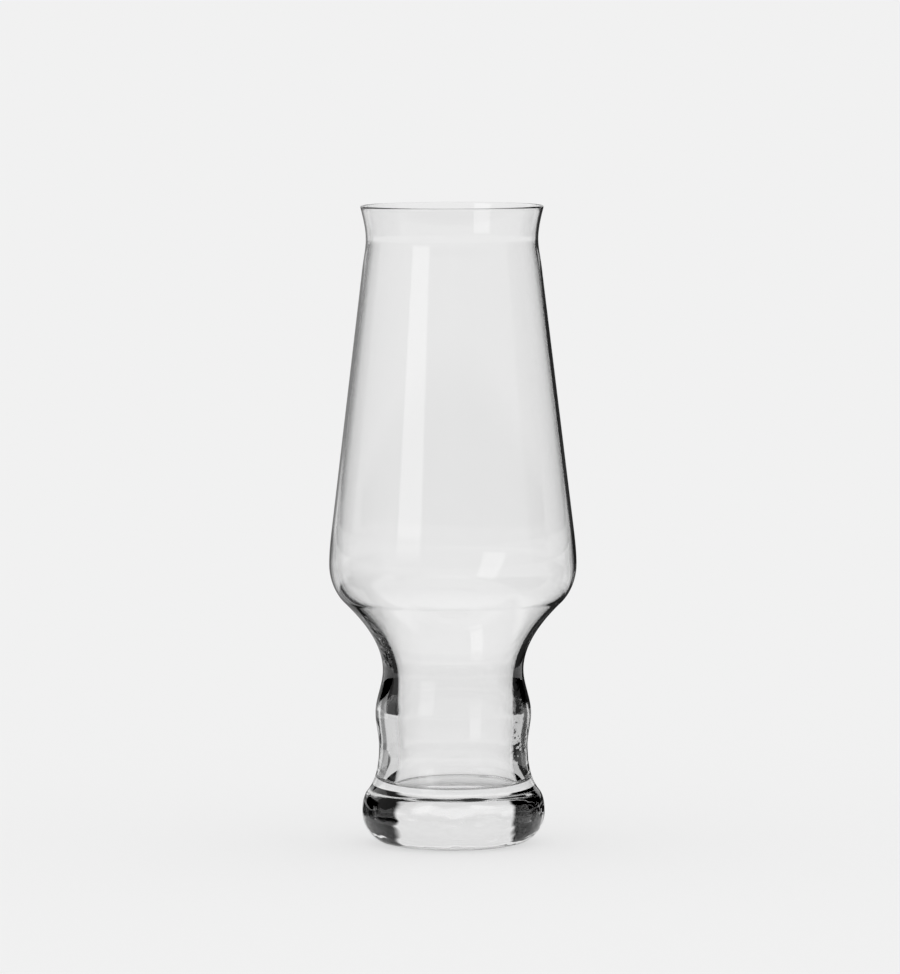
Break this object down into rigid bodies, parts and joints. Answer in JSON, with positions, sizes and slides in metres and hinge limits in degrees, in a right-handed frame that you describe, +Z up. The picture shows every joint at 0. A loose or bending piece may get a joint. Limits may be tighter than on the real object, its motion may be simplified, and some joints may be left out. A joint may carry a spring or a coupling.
{
  "type": "ipa beer glass",
  "caption": "Tall clear beer glass: thin tapering bowl with a flared lip, thick hollow ringed grip and a heavy rounded foot; holds about half a litre of beer.",
  "frame": {"origin": "centre of the base, at the level of the table that the glass stands on", "axes": "+Z up along the axis of turning, from the foot to the lip"},
  "size_m": [0.0794, 0.0794, 0.2051],
  "materials": {
    "bowl": "clear colourless glass, fire polished",
    "stem": "clear colourless glass, fire polished",
    "foot": "clear colourless glass, fire polished"
  },
  "bodies": {
    "root": {"bowl": "bowl", "stem": "stem", "foot": "foot"}
  },
  "joints": []
}
